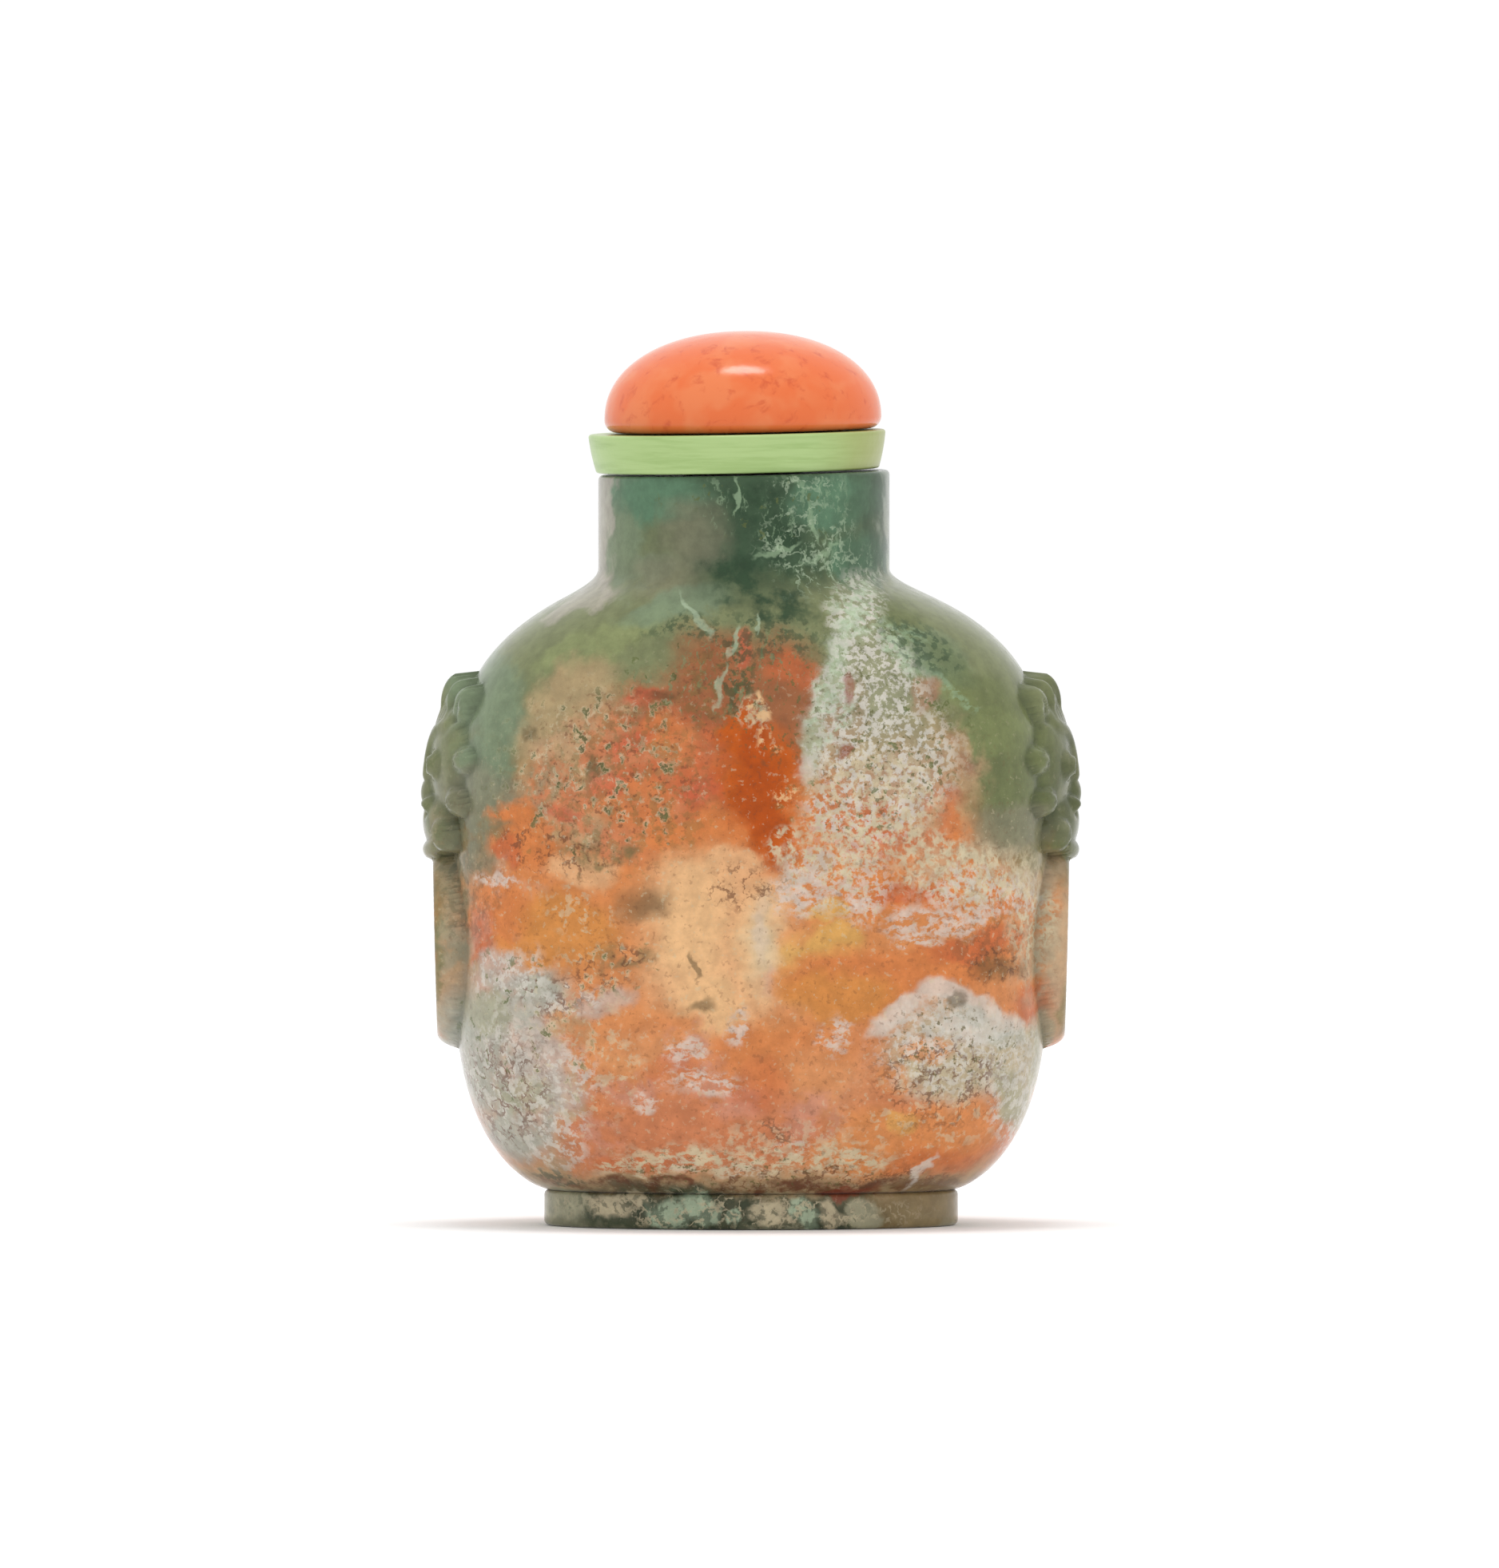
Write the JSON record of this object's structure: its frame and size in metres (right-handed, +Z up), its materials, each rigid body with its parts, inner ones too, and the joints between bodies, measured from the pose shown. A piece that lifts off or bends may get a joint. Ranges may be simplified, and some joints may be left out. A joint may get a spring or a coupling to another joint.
{
  "type": "snuff bottle",
  "caption": "Flattened oval agate snuff bottle on a low oval foot, with beast-mask and ring handles in relief, a straight round neck and a domed stopper on a collar.",
  "frame": {"origin": "middle of the foot's underside, on the surface that it stands on", "axes": "+Z up the bottle, X across the broad faces from handle to handle, +Y from the front face to the back one"},
  "size_m": [0.0464, 0.027, 0.0626],
  "materials": {
    "agate": "polished moss agate, orange and cream with green and grey inclusions",
    "collar_stone": "polished pale green stone",
    "dome_stone": "glossy coral orange stone",
    "cork": "plain cork"
  },
  "bodies": {
    "root": {"bottle": "agate", "stopper_collar": "collar_stone", "stopper_dome": "dome_stone", "stopper_cork": "cork"}
  },
  "joints": []
}
